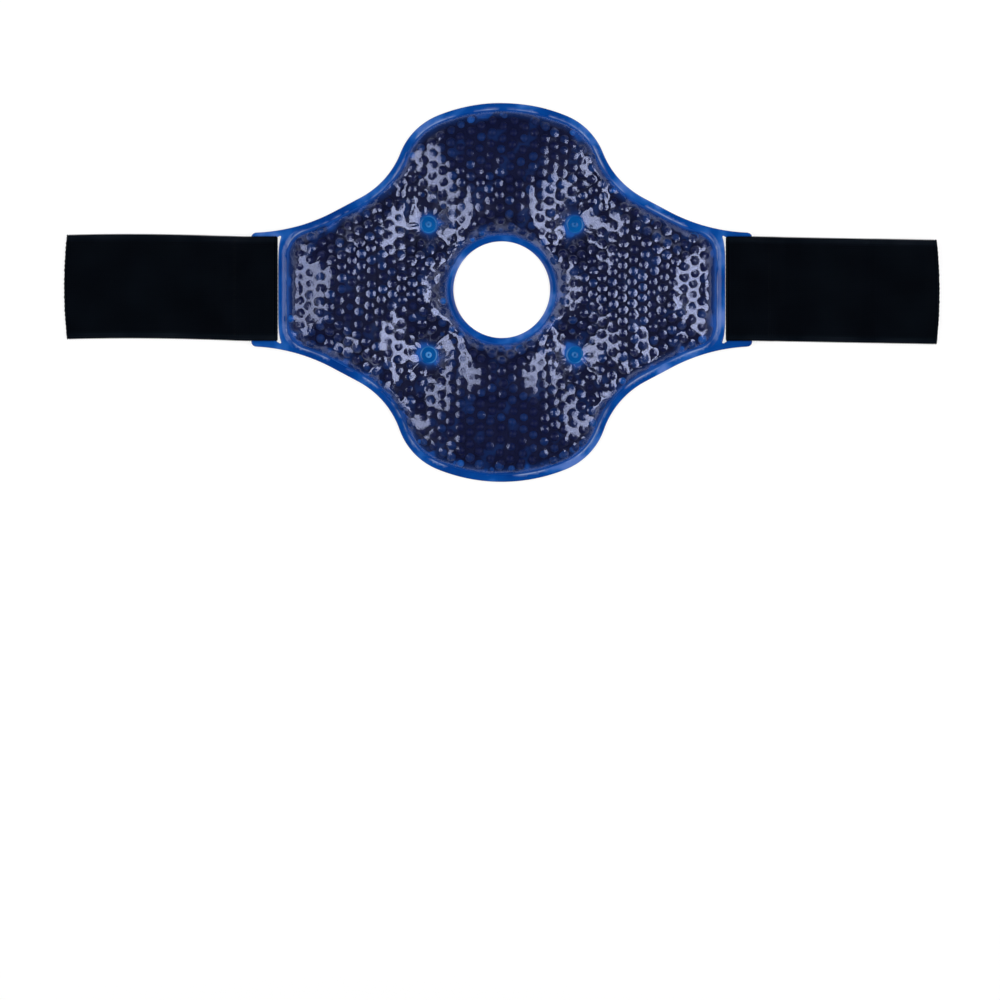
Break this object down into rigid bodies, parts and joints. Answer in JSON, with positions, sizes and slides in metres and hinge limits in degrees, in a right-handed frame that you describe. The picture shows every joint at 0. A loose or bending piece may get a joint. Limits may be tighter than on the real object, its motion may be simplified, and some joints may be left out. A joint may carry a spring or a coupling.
{
  "type": "hot and cold gel bead knee wrap",
  "caption": "Cross-shaped clear blue gel-bead pouch with a round knee opening, spot welds and slotted tabs that hold black elastic straps, wraps and cools or warms a knee.",
  "frame": {"origin": "centre of the knee opening, on the back face that the wrap lies on", "axes": "+X along the right strap, +Y towards the top lobe (thigh), +Z out of the front film"},
  "size_m": [0.5, 0.2178, 0.011],
  "materials": {
    "clear_film": "clear blue soft film, glossy, over beads",
    "back_film": "clear blue soft film, glossy",
    "weld": "fused cobalt blue film, glossy",
    "gel_beads": "navy gel beads in liquid",
    "elastic": "black woven elastic",
    "thread": "black thread",
    "hook_tape": "black hook tape"
  },
  "bodies": {
    "pad_center": {"front_film_center": "clear_film", "back_film_center": "back_film", "gel_beads_center": "gel_beads", "rim_weld_center": "weld", "ring_weld": "weld", "spot_welds": "weld"},
    "left_wing": {"front_film_left_wing": "clear_film", "back_film_left_wing": "back_film", "gel_beads_left_wing": "gel_beads", "rim_weld_left_wing": "weld", "left_tab": "weld", "left_strap_loop": "elastic"},
    "right_wing": {"front_film_right_wing": "clear_film", "back_film_right_wing": "back_film", "gel_beads_right_wing": "gel_beads", "rim_weld_right_wing": "weld", "right_tab": "weld", "right_strap_loop": "elastic"},
    "top_lobe": {"front_film_top_lobe": "clear_film", "back_film_top_lobe": "back_film", "gel_beads_top_lobe": "gel_beads", "rim_weld_top_lobe": "weld"},
    "bottom_lobe": {"front_film_bottom_lobe": "clear_film", "back_film_bottom_lobe": "back_film", "gel_beads_bottom_lobe": "gel_beads", "rim_weld_bottom_lobe": "weld"},
    "left_strap": {"left_strap_band": "elastic", "left_strap_stitches": "thread"},
    "left_strap_tail": {"left_strap_tail": "elastic"},
    "left_strap_end": {"left_strap_end": "elastic"},
    "right_strap": {"right_strap_band": "elastic", "right_strap_stitches": "thread"},
    "right_strap_tail": {"right_strap_tail": "elastic"},
    "right_strap_end": {"right_strap_end": "elastic", "hook_patch": "hook_tape"}
  },
  "joints": [
    {"name": "left_wing_fold", "type": "hinge", "parent": "pad_center", "child": "left_wing", "pos_m": [-0.07132, 0, 0], "axis": [0, -1, 0], "range_deg": [0, 75]},
    {"name": "right_wing_fold", "type": "hinge", "parent": "pad_center", "child": "right_wing", "pos_m": [0.07132, 0, 0], "axis": [0, 1, 0], "range_deg": [0, 75]},
    {"name": "top_lobe_fold", "type": "hinge", "parent": "pad_center", "child": "top_lobe", "pos_m": [0, 0.06235, 0], "axis": [-1, 0, 0], "range_deg": [0, 45]},
    {"name": "bottom_lobe_fold", "type": "hinge", "parent": "pad_center", "child": "bottom_lobe", "pos_m": [0, -0.06235, 0], "axis": [1, 0, 0], "range_deg": [0, 45]},
    {"name": "left_strap_fold", "type": "hinge", "parent": "left_wing", "child": "left_strap", "pos_m": [-0.14705, 0, 0.00215], "axis": [0, -1, 0], "range_deg": [-90, 55]},
    {"name": "left_strap_bend", "type": "hinge", "parent": "left_strap", "child": "left_strap_tail", "pos_m": [-0.19, 0, 0.0007], "axis": [0, -1, 0], "range_deg": [-90, 70]},
    {"name": "left_strap_stretch", "type": "slide", "parent": "left_strap_tail", "child": "left_strap_end", "axis": [-1, 0, 0], "range_m": [0, 0.04], "stiffness_N_per_m": 100},
    {"name": "right_strap_fold", "type": "hinge", "parent": "right_wing", "child": "right_strap", "pos_m": [0.14705, 0, 0.00215], "axis": [0, 1, 0], "range_deg": [-90, 55]},
    {"name": "right_strap_bend", "type": "hinge", "parent": "right_strap", "child": "right_strap_tail", "pos_m": [0.19, 0, 0.0007], "axis": [0, 1, 0], "range_deg": [-90, 35]},
    {"name": "right_strap_stretch", "type": "slide", "parent": "right_strap_tail", "child": "right_strap_end", "axis": [1, 0, 0], "range_m": [0, 0.04], "stiffness_N_per_m": 100}
  ]
}
